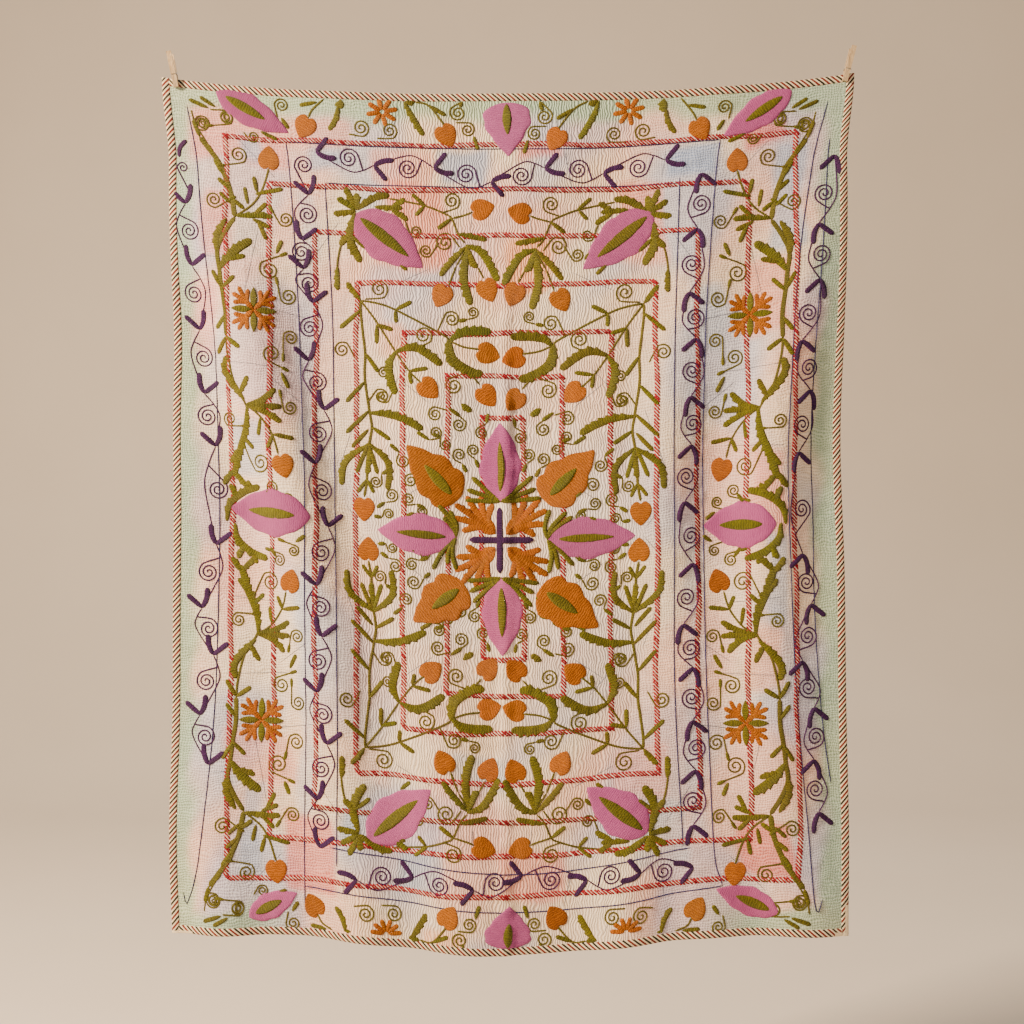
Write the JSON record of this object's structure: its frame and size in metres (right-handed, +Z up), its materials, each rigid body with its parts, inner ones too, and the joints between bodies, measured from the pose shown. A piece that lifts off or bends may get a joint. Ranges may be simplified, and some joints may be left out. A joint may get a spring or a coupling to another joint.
{
  "type": "embroidered suzani wall hanging with clothes pegs",
  "caption": "Quilted suzani cloth with floral vine embroidery and striped braid binding, hanging in soft folds from wooden clothes pegs at its top corners.",
  "frame": {"origin": "middle of the hanging line between the jaws of the pegs, on the plane of the wall", "axes": "+Z up along the hang of the cloth, +X to the right seen from the front, +Y towards the wall"},
  "size_m": [1.4233, 0.0685, 1.8516],
  "materials": {
    "ground_cloth": "quilted cotton, matt",
    "embroidery": "chain-stitched wool and silk thread, soft sheen",
    "binding": "striped braid, matt",
    "peg_wood": "bare beech",
    "peg_steel": "drawn wire"
  },
  "bodies": {
    "root": {"panel": "ground_cloth", "binding_top": "binding", "binding_bottom": "binding", "binding_left": "binding", "binding_right": "binding", "left_peg_back_leg": "peg_wood", "left_peg_front_leg": "peg_wood", "left_peg_spring": "peg_steel", "right_peg_back_leg": "peg_wood", "right_peg_front_leg": "peg_wood", "right_peg_spring": "peg_steel"}
  },
  "joints": []
}
